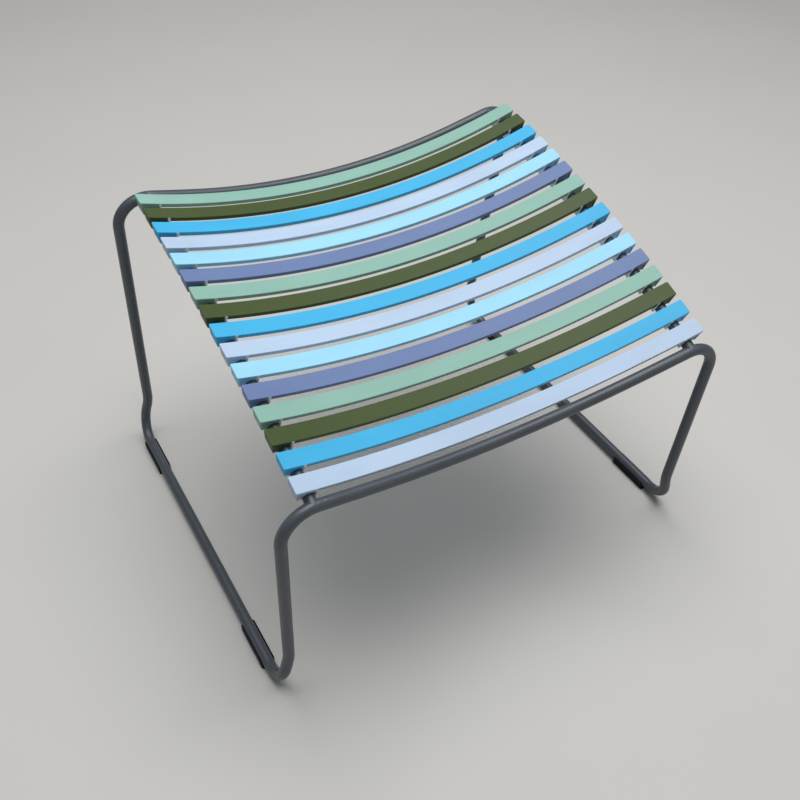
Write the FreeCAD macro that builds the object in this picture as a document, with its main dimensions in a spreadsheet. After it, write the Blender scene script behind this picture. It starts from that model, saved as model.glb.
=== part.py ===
import FreeCAD, Part
import math
import os
import Sketcher

# Slatted outdoor footstool: two bent steel tube halves make one closed loop of bars, legs and
# floor runners, two crowned rails join the front and rear bars, sixteen moulded slats clip across
# the rails, and four plastic glides clip under the runners.
# Millimetres. +X runs along the slats to the right, +Y to the back, +Z up.
# The origin is on the floor, under the middle of the overall box.

VECTOR = FreeCAD.Vector
SLAT_NAMES = ["slat_%02d" % number for number in range(1, 17)]
START, END, CENTER = 1, 2, 3  # how a sketch numbers the points of a line or an arc
CLIP_BORE = 3  # the bore's place among the pieces of a clip block's outline
END_SLATS = {"front": len(SLAT_NAMES), "rear": 1}
BACKWARDS = {"front": -1, "rear": 1}
TOLERANCE = 0.01

SIZES = [
    ("slat_length", 500.0, "slat, end to end across the seat"),
    ("slat_width", 18.95, "slat, front edge to back edge"),
    ("slat_plate", 2.6, "thickness of the slat's top plate"),
    ("slat_depth", 4.6, "depth of the side walls under the slat's top"),
    ("slat_wall", 2.0, "thickness of those side walls"),
    ("slat_pitch", 25.65, "slat to slat, measured over the crown of the seat"),
    ("slat_corner", 1.6, "radius of the slat's end corners, seen from above"),
    ("slat_edge", 0.9, "rounding round the slat's top face"),
    ("clip_clearance", 0.1, "radial room between a clip and its rail"),
    ("clip_reach", 2.0, "how far a clip wraps past the middle of its rail, so that it holds"),
    ("clip_recess", 0.8, "how far a clip's front and rear stand back from the slat's sides"),
    ("clip_end", 3.5, "thickness of the slat's end wall at its top, which isn't set back"),
    ("clip_rib", 2.0, "thickness of the rib at a clip's inner side, which isn't set back"),
    ("clip_lean", 2.0, "how far the end wall's outside leans in on its way down"),
    ("clip_bevel", 1.3, "bevel of the end wall's lower corner"),
    ("rib_round", 0.6, "rounding of a rib's upright edges"),
    ("dish_radius", 760.0, "radius of the seat's dish, from side to side"),
    ("crown_radius", 1610.0, "radius of the seat's crown, from front to back"),
    ("seat_slope", 13.8, "slope of the seat at its middle, in degrees, rising to the back"),
    ("seat_height", 337.0, "height of the seat's top at its middle"),
    ("seat_middle", -22.87, "Y of the seat's middle"),
    ("tube_size", 13.0, "outer diameter of the frame tube and of the rails"),
    ("tube_bore", 10.0, "inner diameter of the same tube"),
    ("frame_bend", 33.0, "bend radius of the frame tube, along its centre line"),
    ("runner_gauge", 566.0, "runner to runner, between centre lines"),
    ("runner_height", 10.0, "height of a runner's centre line"),
    ("front_foot", -227.67, "Y where a front leg's line meets its runner's line"),
    ("rear_foot", 239.93, "Y where a rear leg's line meets its runner's line"),
    ("front_leg_gauge", 542.0, "front leg to front leg, between centre lines"),
    ("rear_leg_gauge", 538.0, "rear leg to rear leg, between centre lines"),
    ("step_height", 62.0, "height where a leg's line meets the short step out to its runner"),
    ("step_bend", 80.0, "bend radius between a leg and that step"),
    ("bar_arc", 380.0, "width of the dished middle of a bar, which runs on straight at its ends"),
    ("bar_dish_radius", 790.0, "radius of a bar's dished middle"),
    ("front_overhang", 19.55, "from slat 16's middle to the front bar, measured over the crown"),
    ("rear_overhang", 24.0, "from slat 1's middle to the rear bar, measured over the crown"),
    ("front_bar_drop", 11.2, "front bar's centre line below the seat's top"),
    ("rear_bar_drop", 10.8, "rear bar's centre line below the seat's top"),
    ("rail_gauge", 470.0, "rail to rail, between centre lines"),
    ("rail_cover", 7.0, "slat material over the top of a rail"),
    ("sleeve_size", 9.8, "outer diameter of the sleeve inside each runner's joint"),
    ("sleeve_bore", 7.4, "inner diameter of that sleeve"),
    ("sleeve_length", 60.0, "length of that sleeve"),
    ("glide_length", 60.0, "length of a glide"),
    ("glide_width", 16.6, "width of a glide"),
    ("glide_top", 10.6, "height of a glide's arms above the floor"),
    ("glide_round", 2.5, "rounding of a glide's lower edges"),
    ("glide_fit", 0.05, "radial room between a glide and its runner"),
    ("front_glide_middle", -163.87, "Y of the middle of the front glides"),
    ("rear_glide_middle", 177.63, "Y of the middle of the rear glides"),
    ("peg_size", 4.0, "diameter of a glide's locating peg"),
    ("peg_hole", 4.3, "diameter of the peg's hole in the runner"),
    ("peg_top", 6.0, "height of the peg's tip above the floor"),
]


def make_sheet(doc):
    """The spreadsheet of driving dimensions: a note, a value and its alias on each row."""
    sheet = doc.addObject("Spreadsheet::Sheet", "Sizes")
    for row, (alias, value, note) in enumerate(SIZES, start=1):
        sheet.set("A%d" % row, note)
        sheet.set("B%d" % row, str(value))
        sheet.setAlias("B%d" % row, alias)
    doc.recompute()
    return sheet


def bind(feature, **expressions):
    """Bind properties of a feature to expressions over the sheet's aliases."""
    for name, expression in expressions.items():
        feature.setExpression(name, expression)


def end_size(sheet, end, name):
    """A size of the front or the rear of the frame."""
    return getattr(sheet, "%s_%s" % (end, name))


def arc_rise(radius, side):
    """How far an arc has risen at this distance from its lowest point."""
    return radius - math.sqrt(radius * radius - side * side)


class Seat:
    """Places on the seat: an arc from front to back, and a dish from side to side."""

    def __init__(self, sheet):
        self.sheet = sheet
        slope = math.radians(sheet.seat_slope)
        self.middle_angle = slope
        self.axis_y = sheet.seat_middle + sheet.crown_radius * math.sin(slope)
        self.axis_z = sheet.seat_height - sheet.crown_radius * math.cos(slope)

    def angle(self, reach):
        """Angle of the place that lies this far behind the seat's middle, over the crown."""
        return self.middle_angle - reach / self.sheet.crown_radius

    def point(self, reach, side, rise):
        """The point at this reach and side, raised square to the seat from its middle line."""
        angle = self.angle(reach)
        radius = self.sheet.crown_radius + rise
        return VECTOR(side, self.axis_y - radius * math.sin(angle), self.axis_z + radius * math.cos(angle))

    def placement(self, reach):
        """Placement of a piece whose own Z is square to the seat there."""
        turn = FreeCAD.Rotation(VECTOR(1, 0, 0), math.degrees(self.angle(reach)))
        return FreeCAD.Placement(self.point(reach, 0, 0), turn)

    def slat_reach(self, number):
        """Reach of a slat's middle: slat 1 is the rearmost."""
        middle_number = (1 + len(SLAT_NAMES)) / 2
        return (middle_number - number) * self.sheet.slat_pitch

    def bar_reach(self, end):
        """Reach of the front or the rear bar."""
        overhang = end_size(self.sheet, end, "overhang")
        return self.slat_reach(END_SLATS[end]) + BACKWARDS[end] * overhang

    def rail_tilt(self):
        """Sideways slope of the dish over the right rail, as an angle."""
        return math.asin(self.sheet.rail_gauge / 2 / self.sheet.dish_radius)

    def rail_rise(self):
        """Rise of a rail's centre line, under the slat plate where the dish slopes."""
        depth = self.sheet.rail_cover + self.sheet.tube_size / 2
        dish = arc_rise(self.sheet.dish_radius, self.sheet.rail_gauge / 2)
        return dish - depth / math.cos(self.rail_tilt())


def rounded_path(points, radii):
    """Edges of straight runs joined by tangent arcs, with one radius for each inner point."""
    edges = []
    start = points[0]
    for before, corner, after, radius in zip(points, points[1:], points[2:], radii):
        towards_before = (before - corner).normalize()
        towards_after = (after - corner).normalize()
        half_angle = towards_before.getAngle(towards_after) / 2
        setback = radius / math.tan(half_angle)
        arc_start = corner + towards_before * setback
        arc_end = corner + towards_after * setback
        bisector = (towards_before + towards_after).normalize()
        arc_middle = corner + bisector * (radius / math.sin(half_angle) - radius)
        edges.append(Part.LineSegment(start, arc_start).toShape())
        edges.append(Part.Arc(arc_start, arc_middle, arc_end).toShape())
        start = arc_end
    edges.append(Part.LineSegment(start, points[-1]).toShape())
    return edges


def bar_end(seat, end, hand):
    """The end of a bar's dished arc and the virtual corner where its straight end meets the leg."""
    sheet = seat.sheet
    reach = seat.bar_reach(end)
    side = sheet.bar_arc / 2
    corner_side = end_size(sheet, end, "leg_gauge") / 2
    slope = side / math.sqrt(sheet.bar_dish_radius ** 2 - side ** 2)
    arc_end_rise = arc_rise(sheet.bar_dish_radius, side) - end_size(sheet, end, "bar_drop")
    corner_rise = arc_end_rise + (corner_side - side) * slope
    return seat.point(reach, hand * side, arc_end_rise), seat.point(reach, hand * corner_side, corner_rise)


def half_frame_path(seat, end):
    """Centre line of half of the frame: runner, step, leg, bar, leg, step, runner, from left to right."""
    sheet = seat.sheet
    radii = (sheet.frame_bend, sheet.step_bend, sheet.frame_bend)
    sides = []
    for hand in (-1, 1):
        runner_x = hand * sheet.runner_gauge / 2
        joint = VECTOR(runner_x, 0, sheet.runner_height)
        foot = VECTOR(runner_x, end_size(sheet, end, "foot"), sheet.runner_height)
        arc_end, top = bar_end(seat, end, hand)
        climb = (sheet.step_height - foot.z) / (top.z - foot.z)
        step = VECTOR(top.x, foot.y + climb * (top.y - foot.y), sheet.step_height)
        sides.append(rounded_path([joint, foot, step, top, arc_end], radii))
    left, right = sides
    left_end = left[-1].Vertexes[-1].Point
    right_end = right[-1].Vertexes[-1].Point
    bar_middle = seat.point(seat.bar_reach(end), 0, -end_size(sheet, end, "bar_drop"))
    bar = Part.Arc(left_end, bar_middle, right_end).toShape()
    return Part.Wire(left + [bar] + right[::-1])


def add_path(doc, name, wire):
    """A centre line kept in the document as the spine of sweeps."""
    path = doc.addObject("Part::Feature", name)
    path.Shape = wire
    return path


def add_sweep(doc, name, path, alias, start, direction):
    """A solid round bar along a path, its diameter bound to a cell of the sheet."""
    circle = doc.addObject("Part::Circle", name + "_circle")
    bind(circle, Radius="Sizes.%s / 2" % alias)
    turn = FreeCAD.Rotation(VECTOR(0, 0, 1), direction)
    circle.Placement = FreeCAD.Placement(start, turn)
    sweep = doc.addObject("Part::Sweep", name)
    sweep.Sections = [circle]
    sweep.Spine = (path, ["Edge%d" % (index + 1) for index in range(len(path.Shape.Edges))])
    sweep.Solid = True
    sweep.Frenet = False
    return sweep


def add_cut(doc, name, base, tool):
    """One solid less another."""
    cut = doc.addObject("Part::Cut", name)
    cut.Base = base
    cut.Tool = tool
    return cut


def add_frame_half(doc, seat, end):
    """Half of the bent frame, a hollow tube with a peg hole under each runner, and its outer solid."""
    sheet = seat.sheet
    name = end + "_frame_tube"
    path = add_path(doc, name + "_path", half_frame_path(seat, end))
    start = VECTOR(-sheet.runner_gauge / 2, 0, sheet.runner_height)
    heading = VECTOR(0, BACKWARDS[end], 0)
    outer = add_sweep(doc, name + "_outer", path, "tube_size", start, heading)
    bore = add_sweep(doc, name + "_bore", path, "tube_bore", start, heading)
    tube = add_cut(doc, name + "_tube", outer, bore)
    for side_name, hand in (("left", -1), ("right", 1)):
        hole = doc.addObject("Part::Cylinder", "%s_%s_peg_hole" % (name, side_name))
        bind(hole, Radius="Sizes.peg_hole / 2", Height="Sizes.runner_height")
        bind(hole, **{
            "Placement.Base.x": "%d * Sizes.runner_gauge / 2" % hand,
            "Placement.Base.y": "Sizes.%s_glide_middle" % end,
        })
        tube = add_cut(doc, "%s_%s_drilled" % (name, side_name), tube, hole)
    tube.Label = name
    return tube, outer


def add_rail(doc, seat, name, hand, front_bar, rear_bar):
    """A crowned rail: a hollow tube whose ends are notched to fit the solids of the two bars."""
    sheet = seat.sheet
    side = hand * sheet.rail_gauge / 2
    rise = seat.rail_rise()
    front = seat.bar_reach("front")
    rear = seat.bar_reach("rear")
    ends = [seat.point(reach, side, rise) for reach in (front, (front + rear) / 2, rear)]
    path = add_path(doc, name + "_path", Part.Wire([Part.Arc(*ends).toShape()]))
    angle = seat.angle(front)
    heading = VECTOR(0, math.cos(angle), math.sin(angle))
    outer = add_sweep(doc, name + "_outer", path, "tube_size", ends[0], heading)
    bore = add_sweep(doc, name + "_bore", path, "tube_bore", ends[0], heading)
    tube = add_cut(doc, name + "_tube", outer, bore)
    front_notch = add_cut(doc, name + "_front_notch", tube, front_bar)
    rail = add_cut(doc, name + "_rear_notch", front_notch, rear_bar)
    rail.Label = name
    return rail


def add_sleeve(doc, name, hand):
    """The sleeve inside a runner, across the joint between the frame's two halves."""
    solids = []
    for part_name, alias in (("rod", "sleeve_size"), ("bore", "sleeve_bore")):
        rod = doc.addObject("Part::Cylinder", "%s_%s" % (name, part_name))
        rod.Placement = FreeCAD.Placement(VECTOR(), FreeCAD.Rotation(VECTOR(1, 0, 0), -90))
        bind(rod, Radius="Sizes.%s / 2" % alias, Height="Sizes.sleeve_length")
        bind(rod, **{
            "Placement.Base.x": "%d * Sizes.runner_gauge / 2" % hand,
            "Placement.Base.y": "-Sizes.sleeve_length / 2",
            "Placement.Base.z": "Sizes.runner_height",
        })
        solids.append(rod)
    sleeve = add_cut(doc, name + "_cut", *solids)
    sleeve.Label = name
    return sleeve


def add_body_sketch(body, name, role="XZ_Plane"):
    """A sketch on one of a body's own origin planes."""
    sketch = body.newObject("Sketcher::SketchObject", name)
    plane = [item for item in body.Origin.OriginFeatures if item.Role == role][0]
    sketch.AttachmentSupport = [(plane, "")]
    sketch.MapMode = "FlatFace"
    return sketch


def add_outline(sketch, pieces):
    """A closed outline of lines and arcs: each piece is its geometry and its first and last point."""
    first = sketch.GeometryCount
    for geometry, _, _ in pieces:
        sketch.addGeometry(geometry, False)
    for index, (_, _, last_point) in enumerate(pieces):
        following = (index + 1) % len(pieces)
        next_point = pieces[following][1]
        sketch.addConstraint(
            Sketcher.Constraint("Coincident", first + index, last_point, first + following, next_point)
        )
    return first


def drive(sketch, kind, value, expression, *places):
    """A dimension of a sketch, bound to an expression over the sheet."""
    index = sketch.addConstraint(Sketcher.Constraint(kind, *places, value))
    sketch.setExpression("Constraints[%d]" % index, expression)


def line(x1, y1, x2, y2):
    """A straight piece of an outline."""
    return Part.LineSegment(VECTOR(x1, y1, 0), VECTOR(x2, y2, 0)), START, END


def arc(x, y, radius, start, end, reverse=False):
    """An arc of an outline, angles in radians and anticlockwise unless it is run in reverse."""
    circle = Part.Circle(VECTOR(x, y, 0), VECTOR(0, 0, 1), radius)
    first, last = (END, START) if reverse else (START, END)
    return Part.ArcOfCircle(circle, start, end), first, last


def polyline(points):
    """Straight pieces through some points."""
    return [line(*start, *end) for start, end in zip(points, points[1:])]


def mirrored(pieces):
    """The same pieces at the other side of the sketch's upright axis, run in the opposite order."""
    result = []
    for geometry, first, last in reversed(pieces):
        if isinstance(geometry, Part.LineSegment):
            start, end = geometry.StartPoint, geometry.EndPoint
            result.append(line(-end.x, end.y, -start.x, start.y))
        else:
            start, end = math.pi - geometry.LastParameter, math.pi - geometry.FirstParameter
            center = geometry.Center
            result.append(arc(-center.x, center.y, geometry.Radius, start, end, reverse=first > last))
    return result


def dish_arc(sheet, depth, left, right, reverse=False):
    """An arc at some depth under the dished top, between two places along the slat."""
    radius = sheet.dish_radius + depth
    down = 3 * math.pi / 2
    start, end = down + math.asin(left / radius), down + math.asin(right / radius)
    return arc(0, sheet.dish_radius, radius, start, end, reverse)


def dish_point(sheet, depth, side):
    """The point of such an arc at this side, measured from the middle of the slat's top."""
    return side, sheet.dish_radius - math.sqrt((sheet.dish_radius + depth) ** 2 - side ** 2)


class Clip:
    """A slat's right clip, seen along its rail and drawn from right to left; the left one mirrors it."""

    def __init__(self, seat):
        sheet = seat.sheet
        self.sheet = sheet
        self.tilt = seat.rail_tilt()
        self.bore = sheet.tube_size / 2 + sheet.clip_clearance
        self.rail_x = sheet.rail_gauge / 2
        self.rail_z = seat.rail_rise()
        self.end = sheet.slat_length / 2
        self.rib = self.rail_x - self.bore - sheet.clip_rib

    def foot(self, side):
        """The point of the clip's lower end at this side: the end slopes like the seat over the rail."""
        middle = self.rail_z - self.sheet.clip_reach / math.cos(self.tilt)
        return side, middle + (side - self.rail_x) * math.tan(self.tilt)

    def under(self, side):
        """The point at this side level with the lower edge of the slat's side walls."""
        return dish_point(self.sheet, self.sheet.slat_depth, side)

    def end_face(self):
        """The slat's end down to its lower end: it leans in and has a bevelled lower corner."""
        low = self.end - self.sheet.clip_lean
        corner = (low, self.foot(low)[1] + self.sheet.clip_bevel)
        return [dish_point(self.sheet, 0, self.end), corner, self.foot(low - self.sheet.clip_bevel)]

    def bore_point(self, angle):
        """A point on the bore round the rail."""
        return self.rail_x + self.bore * math.cos(angle), self.rail_z + self.bore * math.sin(angle)

    def walls(self):
        """The end wall, the gap over the rail and the inner rib, which reach the slat's full width."""
        sheet = self.sheet
        end_inside = self.end - sheet.clip_end
        rib_outside = self.rib + sheet.clip_rib
        end_wall = polyline(self.end_face() + [self.foot(end_inside), self.under(end_inside)])
        gap = dish_arc(sheet, sheet.slat_depth, rib_outside, end_inside, reverse=True)
        rib_points = [self.under(rib_outside), self.foot(rib_outside), self.foot(self.rib), self.under(self.rib)]
        return end_wall + [gap] + polyline(rib_points)

    def block(self):
        """The narrower block round the rail, closed by the slat's top."""
        wrap = math.asin(self.sheet.clip_reach / self.bore)
        start, end = self.tilt - wrap, self.tilt + math.pi + wrap
        outside = polyline(self.end_face() + [self.bore_point(start)])
        bore = arc(self.rail_x, self.rail_z, self.bore, start, end)
        rib_top = dish_point(self.sheet, 0, self.rib)
        inside = polyline([self.bore_point(end), self.foot(self.rib), rib_top])
        return outside + [bore] + inside + [dish_arc(self.sheet, 0, self.rib, self.end)]


def sketch_slat_walls(body, name, sheet, clip):
    """The slat seen along the rails: a dished plate with an end wall and a rib at each end."""
    sketch = add_body_sketch(body, name)
    side = clip.walls()
    top_arc = dish_arc(sheet, 0, -clip.end, clip.end)
    under_arc = dish_arc(sheet, sheet.slat_depth, -clip.rib, clip.rib, reverse=True)
    top = add_outline(sketch, [top_arc] + side + [under_arc] + mirrored(side))
    under = top + 1 + len(side)
    under_radius = sheet.dish_radius + sheet.slat_depth
    drive(sketch, "Radius", sheet.dish_radius, "Sizes.dish_radius", top)
    drive(sketch, "Radius", under_radius, "Sizes.dish_radius + Sizes.slat_depth", under)
    drive(sketch, "DistanceX", sheet.slat_length, "Sizes.slat_length", top, START, top, END)
    return sketch


def sketch_clip_blocks(body, name, sheet, clip):
    """The blocks of the two clips seen along the rails."""
    sketch = add_body_sketch(body, name)
    right_bore = add_outline(sketch, clip.block()) + CLIP_BORE
    left_bore = add_outline(sketch, mirrored(clip.block())) + CLIP_BORE
    for bore in (right_bore, left_bore):
        drive(sketch, "Radius", clip.bore, "Sizes.tube_size / 2 + Sizes.clip_clearance", bore)
    drive(sketch, "DistanceX", sheet.rail_gauge, "Sizes.rail_gauge", left_bore, CENTER, right_bore, CENTER)
    return sketch


def sketch_slat_channel(body, name, sheet, clip):
    """The hollow under the plate, between the side walls and the two clips."""
    sketch = add_body_sketch(body, name)
    side = clip.rib - sheet.slat_wall
    below = sheet.slat_depth + sheet.slat_wall
    right = polyline([dish_point(sheet, sheet.slat_plate, side), dish_point(sheet, below, side)])
    roof_arc = dish_arc(sheet, sheet.slat_plate, -side, side)
    open_arc = dish_arc(sheet, below, -side, side, reverse=True)
    roof = add_outline(sketch, [roof_arc] + right + [open_arc] + mirrored(right))
    roof_radius = sheet.dish_radius + sheet.slat_plate
    drive(sketch, "Radius", roof_radius, "Sizes.dish_radius + Sizes.slat_plate", roof)
    return sketch


def edges_where(shape, test):
    """Names of the edges of a shape that pass a test."""
    return ["Edge%d" % (index + 1) for index, edge in enumerate(shape.Edges) if test(edge)]


def add_fillet(body, name, base, edges, radius):
    """Round some edges of the body's last feature."""
    fillet = body.newObject("PartDesign::Fillet", name)
    fillet.Base = (base, edges)
    bind(fillet, Radius=radius)
    return fillet


def add_pad(body, name, sketch, length):
    """A sketch made solid, equally far to both sides of its plane."""
    pad = body.newObject("PartDesign::Pad", name)
    pad.Profile = sketch
    pad.SideType = "Symmetric"
    bind(pad, Length=length)
    return pad


def add_slat(doc, seat, name, number):
    """One moulded slat: dished channel, rounded top, and a clip over each rail."""
    sheet = seat.sheet
    clip = Clip(seat)
    body = doc.addObject("PartDesign::Body", name)
    walls = sketch_slat_walls(body, name + "_walls_outline", sheet, clip)
    add_pad(body, name + "_walls", walls, "Sizes.slat_width")
    blocks = sketch_clip_blocks(body, name + "_clips_outline", sheet, clip)
    add_pad(body, name + "_clips", blocks, "Sizes.slat_width - 2 * Sizes.clip_recess")
    pocket = body.newObject("PartDesign::Pocket", name + "_pocket")
    pocket.Profile = sketch_slat_channel(body, name + "_channel", sheet, clip)
    pocket.SideType = "Symmetric"
    bind(pocket, Length="Sizes.slat_width - 2 * Sizes.slat_wall")
    doc.recompute()

    def is_upright(edge, side, lean=0):
        box = edge.BoundBox
        at_side = abs(abs(box.Center.x) + lean / 2 - side) < TOLERANCE
        at_front_or_rear = abs(abs(box.Center.y) - sheet.slat_width / 2) < TOLERANCE
        return at_side and at_front_or_rear and box.XLength < lean + TOLERANCE and box.YLength < TOLERANCE

    corners = edges_where(pocket.Shape, lambda edge: is_upright(edge, clip.end, sheet.clip_lean))
    rounded = add_fillet(body, name + "_corners", pocket, corners, "Sizes.slat_corner")
    doc.recompute()
    rib_sides = (clip.rib, clip.rib + sheet.clip_rib)
    rib_edges = edges_where(rounded.Shape, lambda edge: any(is_upright(edge, side) for side in rib_sides))
    ribbed = add_fillet(body, name + "_ribs", rounded, rib_edges, "Sizes.rib_round")
    doc.recompute()
    top = [face for face in ribbed.Shape.Faces if is_dished_top(face, sheet)][0]
    rim = [edge.hashCode() for edge in top.Edges]
    rim_edges = edges_where(ribbed.Shape, lambda edge: edge.hashCode() in rim)
    body.Tip = add_fillet(body, name + "_rim", ribbed, rim_edges, "Sizes.slat_edge")
    body.Placement = seat.placement(seat.slat_reach(number))
    body.Label = name
    return body


def is_dished_top(face, sheet):
    """Whether a face is the slat's dished top."""
    surface = face.Surface
    return isinstance(surface, Part.Cylinder) and abs(surface.Radius - sheet.dish_radius) < TOLERANCE


def add_glide(doc, name, hand, middle_alias, sheet):
    """A glide that clips round the underside of a runner, with a peg in the runner's hole."""
    body = doc.addObject("PartDesign::Body", name)
    profile = add_body_sketch(body, name + "_profile")
    half_width = sheet.glide_width / 2
    saddle = sheet.tube_size / 2 + sheet.glide_fit
    arm_angle = math.asin((sheet.glide_top - sheet.runner_height) / saddle)
    arm_x = saddle * math.cos(arm_angle)
    first = add_outline(profile, [
        line(-half_width, 0, half_width, 0),
        line(half_width, 0, half_width, sheet.glide_top),
        line(half_width, sheet.glide_top, arm_x, sheet.glide_top),
        arc(0, sheet.runner_height, saddle, math.pi - arm_angle, 2 * math.pi + arm_angle, reverse=True),
        line(-arm_x, sheet.glide_top, -half_width, sheet.glide_top),
        line(-half_width, sheet.glide_top, -half_width, 0),
    ])
    drive(profile, "Radius", saddle, "Sizes.tube_size / 2 + Sizes.glide_fit", first + 3)
    drive(profile, "DistanceX", sheet.glide_width, "Sizes.glide_width", first, START, first, END)
    drive(profile, "DistanceY", sheet.glide_top, "Sizes.glide_top", first + 1, START, first + 1, END)
    add_pad(body, name + "_pad", profile, "Sizes.glide_length")
    peg_sketch = add_body_sketch(body, name + "_peg_outline", "XY_Plane")
    peg_sketch.addGeometry(Part.Circle(VECTOR(), VECTOR(0, 0, 1), sheet.peg_size / 2), False)
    drive(peg_sketch, "Radius", sheet.peg_size / 2, "Sizes.peg_size / 2", 0)
    peg = body.newObject("PartDesign::Pad", name + "_peg")
    peg.Profile = peg_sketch
    bind(peg, Length="Sizes.peg_top")
    doc.recompute()

    def is_outer_corner(edge):
        box = edge.BoundBox
        at_side = abs(abs(box.Center.x) - half_width) < TOLERANCE and box.XLength < TOLERANCE
        lower = box.ZLength < TOLERANCE and box.ZMin < TOLERANCE
        upright = box.YLength < TOLERANCE
        return at_side and (lower or upright)

    corners = edges_where(peg.Shape, is_outer_corner)
    body.Tip = add_fillet(body, name + "_round", peg, corners, "Sizes.glide_round")
    bind(body, **{
        "Placement.Base.x": "%d * Sizes.runner_gauge / 2" % hand,
        "Placement.Base.y": "Sizes.%s" % middle_alias,
    })
    body.Label = name
    return body


def build(doc):
    """Make every piece and return them in order."""
    sheet = make_sheet(doc)
    seat = Seat(sheet)
    front, front_bar = add_frame_half(doc, seat, "front")
    rear, rear_bar = add_frame_half(doc, seat, "rear")
    pieces = [front, rear]
    for side_name, hand in (("left", -1), ("right", 1)):
        pieces.append(add_sleeve(doc, side_name + "_runner_sleeve", hand))
        pieces.append(add_rail(doc, seat, side_name + "_slat_rail", hand, front_bar, rear_bar))
        pieces.append(add_glide(doc, "front_%s_glide" % side_name, hand, "front_glide_middle", sheet))
        pieces.append(add_glide(doc, "rear_%s_glide" % side_name, hand, "rear_glide_middle", sheet))
    for number, name in enumerate(SLAT_NAMES, start=1):
        pieces.append(add_slat(doc, seat, name, number))
    doc.recompute()
    return pieces


def check(doc, pieces):
    """Stop if any feature failed, or if a piece isn't one valid solid."""
    for feature in doc.Objects:
        if "Invalid" in feature.State or "Error" in feature.State:
            raise RuntimeError("%s failed: %s" % (feature.Label, feature.State))
    for piece in pieces:
        shape = piece.Shape
        if shape.isNull() or not shape.isValid() or len(shape.Solids) != 1:
            raise RuntimeError("%s isn't one valid solid" % piece.Label)


def export(pieces):
    """Write each piece to its own file."""
    os.makedirs("parts", exist_ok=True)
    for piece in pieces:
        piece.Shape.exportStep("parts/%s.step" % piece.Label)


def report(pieces):
    """Print each piece's volume and the size of the whole."""
    whole = FreeCAD.BoundBox()
    for piece in pieces:
        whole.add(piece.Shape.BoundBox)
        print("%-22s %9.0f mm3" % (piece.Label, piece.Shape.Volume))
    print("box X %.2f %.2f  Y %.2f %.2f  Z %.2f %.2f" % (
        whole.XMin, whole.XMax, whole.YMin, whole.YMax, whole.ZMin, whole.ZMax,
    ))


document = FreeCAD.newDocument("Footstool")
nodes = build(document)
check(document, nodes)
export(nodes)
report(nodes)
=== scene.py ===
import math

import bpy
from mathutils import Euler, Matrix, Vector

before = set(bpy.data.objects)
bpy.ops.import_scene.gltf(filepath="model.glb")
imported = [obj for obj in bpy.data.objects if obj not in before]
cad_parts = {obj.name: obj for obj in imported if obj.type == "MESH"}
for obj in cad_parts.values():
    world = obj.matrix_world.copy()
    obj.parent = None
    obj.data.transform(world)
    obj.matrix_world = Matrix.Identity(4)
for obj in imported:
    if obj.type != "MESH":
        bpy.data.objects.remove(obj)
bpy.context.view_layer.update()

# Metres. +X runs along the slats to the right, +Y to the back, +Z up, and the floor is at Z = 0.

# Slat colours from the back, as they look in daylight (sRGB, 0 to 255); the order repeats.
SLAT_COLOURS = [
    ("mint", (141, 183, 170)),
    ("olive", (71, 85, 49)),
    ("sky_blue", (69, 177, 225)),
    ("lavender", (182, 203, 227)),
    ("pale_cyan", (158, 215, 240)),
    ("slate_violet", (110, 129, 172)),
]
SLAT_COUNT = 16
POWDER_COLOUR = (73, 79, 87)
GLIDE_COLOUR = (13, 13, 14)
SLEEVE_COLOUR = (150, 150, 152)
DUST_COLOUR = (176, 170, 160)
# Painted highlight: a near-white tint on the clips' inner ribs stands in for light glinting on them.
PAINTED_RIB_HIGHLIGHT_COLOUR = (245, 248, 250)
FLOOR_COLOUR = (200, 198, 194)

RIB_SIDE = 0.2274  # from the middle of a slat to the middle of a clip's inner rib
RIB_HIGHLIGHT_HALF = 0.0016  # half the width of the painted highlight there

FLOOR_RADIUS = 14
FLOOR_CORNERS = 96
LIGHT_AIM = (0, 0, 0.2)
OVERHEAD_PLACE = (0.2, 0.15, 3.2)
OVERHEAD_SIZE = 2.8
OVERHEAD_POWER = 113  # watts
FILL_PLACE = (1.4, -2.2, 1.2)
FILL_SIZE = 2.0
FILL_POWER = 2
SKY_COLOUR = (0.86, 0.90, 0.95, 1.0)
SKY_STRENGTH = 0.16

CAMERA_PLACE = (-0.4605, -0.7377, 0.9448)
CAMERA_TILT = 47.20  # degrees up from looking straight down
CAMERA_HEADING = -31.68
CAMERA_ROLL = 2.21
CAMERA_LENS = 41.26  # millimetres
CAMERA_SENSOR = 36  # millimetres wide
CAMERA_SHIFT = (0.0037, -0.0052)


def linear(colour):
    """An sRGB colour, 0 to 255, as the linear colour that a shader takes."""
    values = []
    for channel in colour:
        share = channel / 255
        values.append(share / 12.92 if share <= 0.04045 else ((share + 0.055) / 1.055) ** 2.4)
    return (*values, 1.0)


def shade(colour, factor):
    """A linear colour made lighter or darker."""
    return (*(min(channel * factor, 1.0) for channel in colour[:3]), 1.0)


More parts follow.
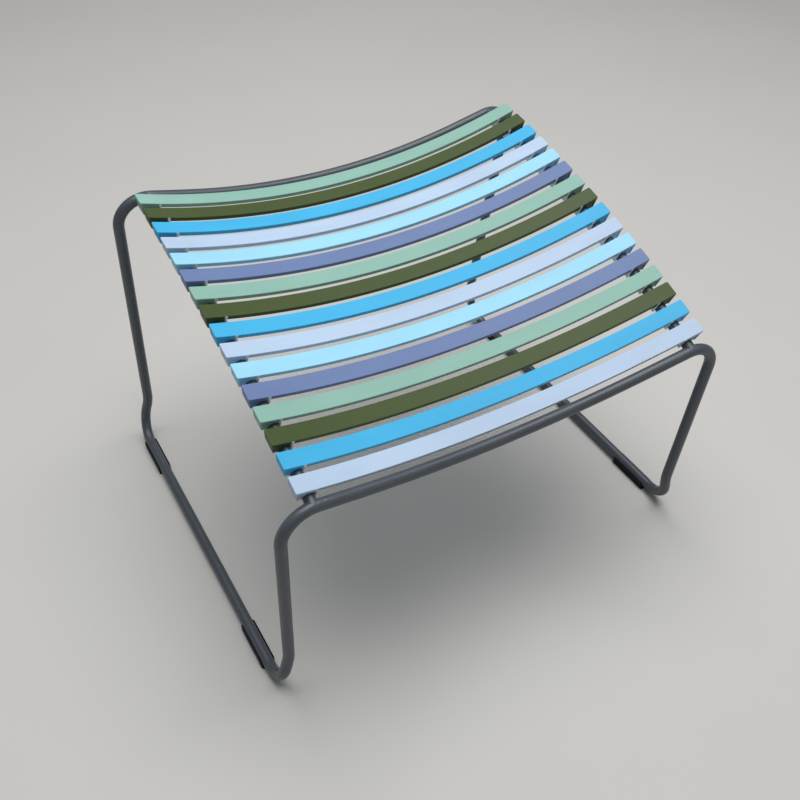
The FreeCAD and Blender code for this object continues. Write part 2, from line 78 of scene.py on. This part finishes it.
class Surface:
    """A material whose nodes are made one by one, in the object's own coordinates."""

    def __init__(self, name):
        self.material = bpy.data.materials.new(name)
        self.material.use_nodes = True
        self.tree = self.material.node_tree
        self.tree.nodes.clear()
        self.shader = self.node("ShaderNodeBsdfPrincipled")
        output = self.node("ShaderNodeOutputMaterial")
        self.join(self.shader.outputs["BSDF"], output.inputs["Surface"])
        self.place = self.node("ShaderNodeTexCoord").outputs["Object"]

    def node(self, kind, **settings):
        made = self.tree.nodes.new(kind)
        for name, value in settings.items():
            setattr(made, name, value)
        return made

    def join(self, source, target):
        self.tree.links.new(source, target)

    def fixed(self, **values):
        """Values that are the same all over, set on the shader's own sockets."""
        for name, value in values.items():
            self.shader.inputs[name.replace("_", " ")].default_value = value

    def stretched(self, factors):
        """The coordinates, scaled along each axis."""
        mapping = self.node("ShaderNodeMapping")
        mapping.inputs["Scale"].default_value = factors
        self.join(self.place, mapping.inputs["Vector"])
        return mapping.outputs["Vector"]

    def noise(self, scale, detail=2.0, place=None):
        """Smooth noise from 0 to 1, with this many cells to a metre."""
        texture = self.node("ShaderNodeTexNoise")
        texture.inputs["Scale"].default_value = scale
        texture.inputs["Detail"].default_value = detail
        self.join(place or self.place, texture.inputs["Vector"])
        return texture.outputs["Fac"]

    def remap(self, value, low, high, to_low, to_high):
        """One range of values carried to another, and held at its ends."""
        remap = self.node("ShaderNodeMapRange")
        for name, number in (("From Min", low), ("From Max", high), ("To Min", to_low), ("To Max", to_high)):
            remap.inputs[name].default_value = number
        self.join(value, remap.inputs["Value"])
        return remap.outputs["Result"]

    def maths(self, operation, *values):
        """Values put together by one operation."""
        maths = self.node("ShaderNodeMath", operation=operation)
        for socket, value in zip(maths.inputs, values):
            if isinstance(value, (int, float)):
                socket.default_value = value
            else:
                self.join(value, socket)
        return maths.outputs["Value"]

    def blend(self, factor, first, second):
        """A mix of two colours."""
        mix = self.node("ShaderNodeMix", data_type="RGBA")
        self.join(factor, mix.inputs["Factor"])
        for name, value in (("A", first), ("B", second)):
            socket = [item for item in mix.inputs if item.name == name and item.type == "RGBA"][0]
            if isinstance(value, tuple):
                socket.default_value = value
            else:
                self.join(value, socket)
        return [item for item in mix.outputs if item.type == "RGBA"][0]

    def bump(self, height, depth, base=None):
        """Relief of this depth in metres, on top of any earlier relief."""
        bump = self.node("ShaderNodeBump")
        bump.inputs["Distance"].default_value = depth
        self.join(height, bump.inputs["Height"])
        if base is not None:
            self.join(base, bump.inputs["Normal"])
        return bump.outputs["Normal"]

    def along(self, axis, vector):
        """One coordinate of a vector."""
        split = self.node("ShaderNodeSeparateXYZ")
        self.join(vector, split.inputs["Vector"])
        return split.outputs[axis]

    def facing_up(self):
        """1 where the surface faces up, 0 where it is upright or faces down."""
        normal = self.node("ShaderNodeNewGeometry").outputs["Normal"]
        return self.remap(self.along("Z", normal), 0.3, 0.95, 0.0, 1.0)

    def painted_rib_highlight(self):
        """Mask of a painted highlight: only the upright faces of each clip's inner rib get it."""
        side = self.maths("ABSOLUTE", self.along("X", self.place))
        near = self.maths("COMPARE", side, RIB_SIDE, RIB_HIGHLIGHT_HALF)
        upright = self.remap(self.facing_up(), 0.0, 0.4, 0.9, 0.0)
        return self.maths("MULTIPLY", near, upright)


def slat_plastic(name, colour):
    """Moulded outdoor plastic: fine satin texture, faint flow along the slat, dust, and a painted highlight
    on the ribs.
    """
    surface = Surface("slat_" + name)
    surface.fixed(IOR=1.48, Specular_IOR_Level=0.2)
    base = linear(colour)
    drift = surface.noise(9, 3)
    flow = surface.noise(90, 3, surface.stretched((0.06, 1, 1)))
    tone = surface.maths("ADD", surface.maths("MULTIPLY", drift, 0.6), surface.maths("MULTIPLY", flow, 0.4))
    tinted = surface.blend(surface.remap(tone, 0.3, 0.7, 0.0, 1.0), shade(base, 0.93), shade(base, 1.06))
    dust_spread = surface.remap(surface.noise(420, 6), 0.62, 0.84, 0.0, 0.16)
    dust = surface.maths("MULTIPLY", dust_spread, surface.facing_up())
    dusty = surface.blend(dust, tinted, linear(DUST_COLOUR))
    # Painted highlight: the ribs' upright faces are tinted near white in place of the light glinting on
    # them.
    coloured = surface.blend(surface.painted_rib_highlight(), dusty, linear(PAINTED_RIB_HIGHLIGHT_COLOUR))
    surface.join(coloured, surface.shader.inputs["Base Color"])
    dust_rough = surface.maths("MULTIPLY", dust, 0.5)
    rough = surface.maths("ADD", surface.remap(drift, 0.3, 0.7, 0.40, 0.50), dust_rough)
    surface.join(rough, surface.shader.inputs["Roughness"])
    waviness = surface.bump(surface.noise(28, 2), 0.0004)
    texture = surface.bump(surface.noise(2600, 3), 0.00004, waviness)
    surface.join(texture, surface.shader.inputs["Normal"])
    return surface.material


def powder_coat():
    """Dark grey powder coat: fine orange peel, satin, with pale scuffs and specks of dust."""
    surface = Surface("frame_powder_coat")
    surface.fixed(IOR=1.5)
    base = linear(POWDER_COLOUR)
    drift = surface.noise(14, 3)
    mottled = surface.noise(900, 3)
    half_mottled = surface.maths("MULTIPLY", mottled, 0.5)
    tone = surface.maths("ADD", surface.maths("MULTIPLY", drift, 0.5), half_mottled)
    coat = surface.blend(surface.remap(tone, 0.35, 0.65, 0.0, 1.0), shade(base, 0.86), shade(base, 1.14))
    specks = surface.remap(surface.noise(330, 2), 0.70, 0.78, 0.0, 0.5)
    coloured = surface.blend(specks, coat, linear(DUST_COLOUR))
    surface.join(coloured, surface.shader.inputs["Base Color"])
    surface.join(surface.remap(drift, 0.3, 0.7, 0.30, 0.42), surface.shader.inputs["Roughness"])
    surface.join(surface.bump(surface.noise(1500, 2), 0.00006), surface.shader.inputs["Normal"])
    return surface.material


def glide_plastic():
    """Black moulded nylon: matt, with a fine grain and a little wear."""
    surface = Surface("glide_black")
    surface.fixed(IOR=1.5, Specular_IOR_Level=0.12)
    base = linear(GLIDE_COLOUR)
    grain = surface.noise(1200, 4)
    worn = surface.remap(surface.noise(60, 5), 0.5, 0.75, 0.0, 1.0)
    surface.join(surface.blend(worn, base, shade(base, 1.6)), surface.shader.inputs["Base Color"])
    surface.join(surface.remap(worn, 0.0, 1.0, 0.5, 0.68), surface.shader.inputs["Roughness"])
    surface.join(surface.bump(grain, 0.00006), surface.shader.inputs["Normal"])
    return surface.material


def sleeve_steel():
    """Bare drawn steel, with fine lines along the tube."""
    surface = Surface("sleeve_steel")
    surface.fixed(Metallic=1.0)
    base = linear(SLEEVE_COLOUR)
    lines = surface.noise(900, 3, surface.stretched((1, 0.03, 1)))
    coloured = surface.blend(lines, shade(base, 0.8), shade(base, 1.1))
    surface.join(coloured, surface.shader.inputs["Base Color"])
    surface.join(surface.remap(lines, 0.3, 0.7, 0.3, 0.45), surface.shader.inputs["Roughness"])
    return surface.material


def floor_material():
    """A plain pale floor with hardly any texture."""
    surface = Surface("floor")
    base = linear(FLOOR_COLOUR)
    drift = surface.noise(3, 4)
    coloured = surface.blend(drift, shade(base, 0.97), shade(base, 1.03))
    surface.join(coloured, surface.shader.inputs["Base Color"])
    surface.fixed(Roughness=0.75)
    return surface.material


def coat(node, material):
    """Give a CAD node its material."""
    for material_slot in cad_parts[node].material_slots:
        material_slot.material = material


def coat_frame():
    """Materials for every CAD node."""
    plastics = [slat_plastic(name, colour) for name, colour in SLAT_COLOURS]
    for number in range(1, SLAT_COUNT + 1):
        coat("slat_%02d" % number, plastics[(number - 1) % len(plastics)])
    powder = powder_coat()
    for node in ("front_frame_tube", "rear_frame_tube", "left_slat_rail", "right_slat_rail"):
        coat(node, powder)
    steel = sleeve_steel()
    glide = glide_plastic()
    for side in ("left", "right"):
        coat(side + "_runner_sleeve", steel)
        coat("front_%s_glide" % side, glide)
        coat("rear_%s_glide" % side, glide)


def add_floor():
    bpy.ops.mesh.primitive_circle_add(vertices=FLOOR_CORNERS, radius=FLOOR_RADIUS, fill_type="NGON")
    floor = bpy.context.object
    floor.name = "floor"
    floor.data.materials.append(floor_material())


def add_area_light(name, place, size, power):
    data = bpy.data.lights.new(name, "AREA")
    data.shape = "SQUARE"
    data.size = size
    data.energy = power
    light = bpy.data.objects.new(name, data)
    bpy.context.scene.collection.objects.link(light)
    light.location = place
    light.rotation_euler = (Vector(LIGHT_AIM) - Vector(place)).to_track_quat("-Z", "Y").to_euler()


def add_lights():
    """A big soft light overhead, a weak one in front, and a pale sky."""
    add_area_light("overhead", OVERHEAD_PLACE, OVERHEAD_SIZE, OVERHEAD_POWER)
    add_area_light("front_fill", FILL_PLACE, FILL_SIZE, FILL_POWER)
    world = bpy.data.worlds.new("studio")
    bpy.context.scene.world = world
    world.use_nodes = True
    background = world.node_tree.nodes["Background"]
    background.inputs["Color"].default_value = SKY_COLOUR
    background.inputs["Strength"].default_value = SKY_STRENGTH


def add_camera():
    data = bpy.data.cameras.new("camera")
    data.lens = CAMERA_LENS
    data.sensor_width = CAMERA_SENSOR
    data.shift_x, data.shift_y = CAMERA_SHIFT
    camera = bpy.data.objects.new("camera", data)
    bpy.context.scene.collection.objects.link(camera)
    camera.location = CAMERA_PLACE
    heading = Euler((0, 0, math.radians(CAMERA_HEADING))).to_quaternion()
    tilt = Euler((math.radians(CAMERA_TILT), 0, 0)).to_quaternion()
    roll = Euler((0, 0, math.radians(CAMERA_ROLL))).to_quaternion()
    camera.rotation_mode = "QUATERNION"
    camera.rotation_quaternion = heading @ tilt @ roll
    bpy.context.scene.camera = camera


coat_frame()
add_floor()
add_lights()
add_camera()
bpy.context.scene.view_settings.view_transform = "Standard"
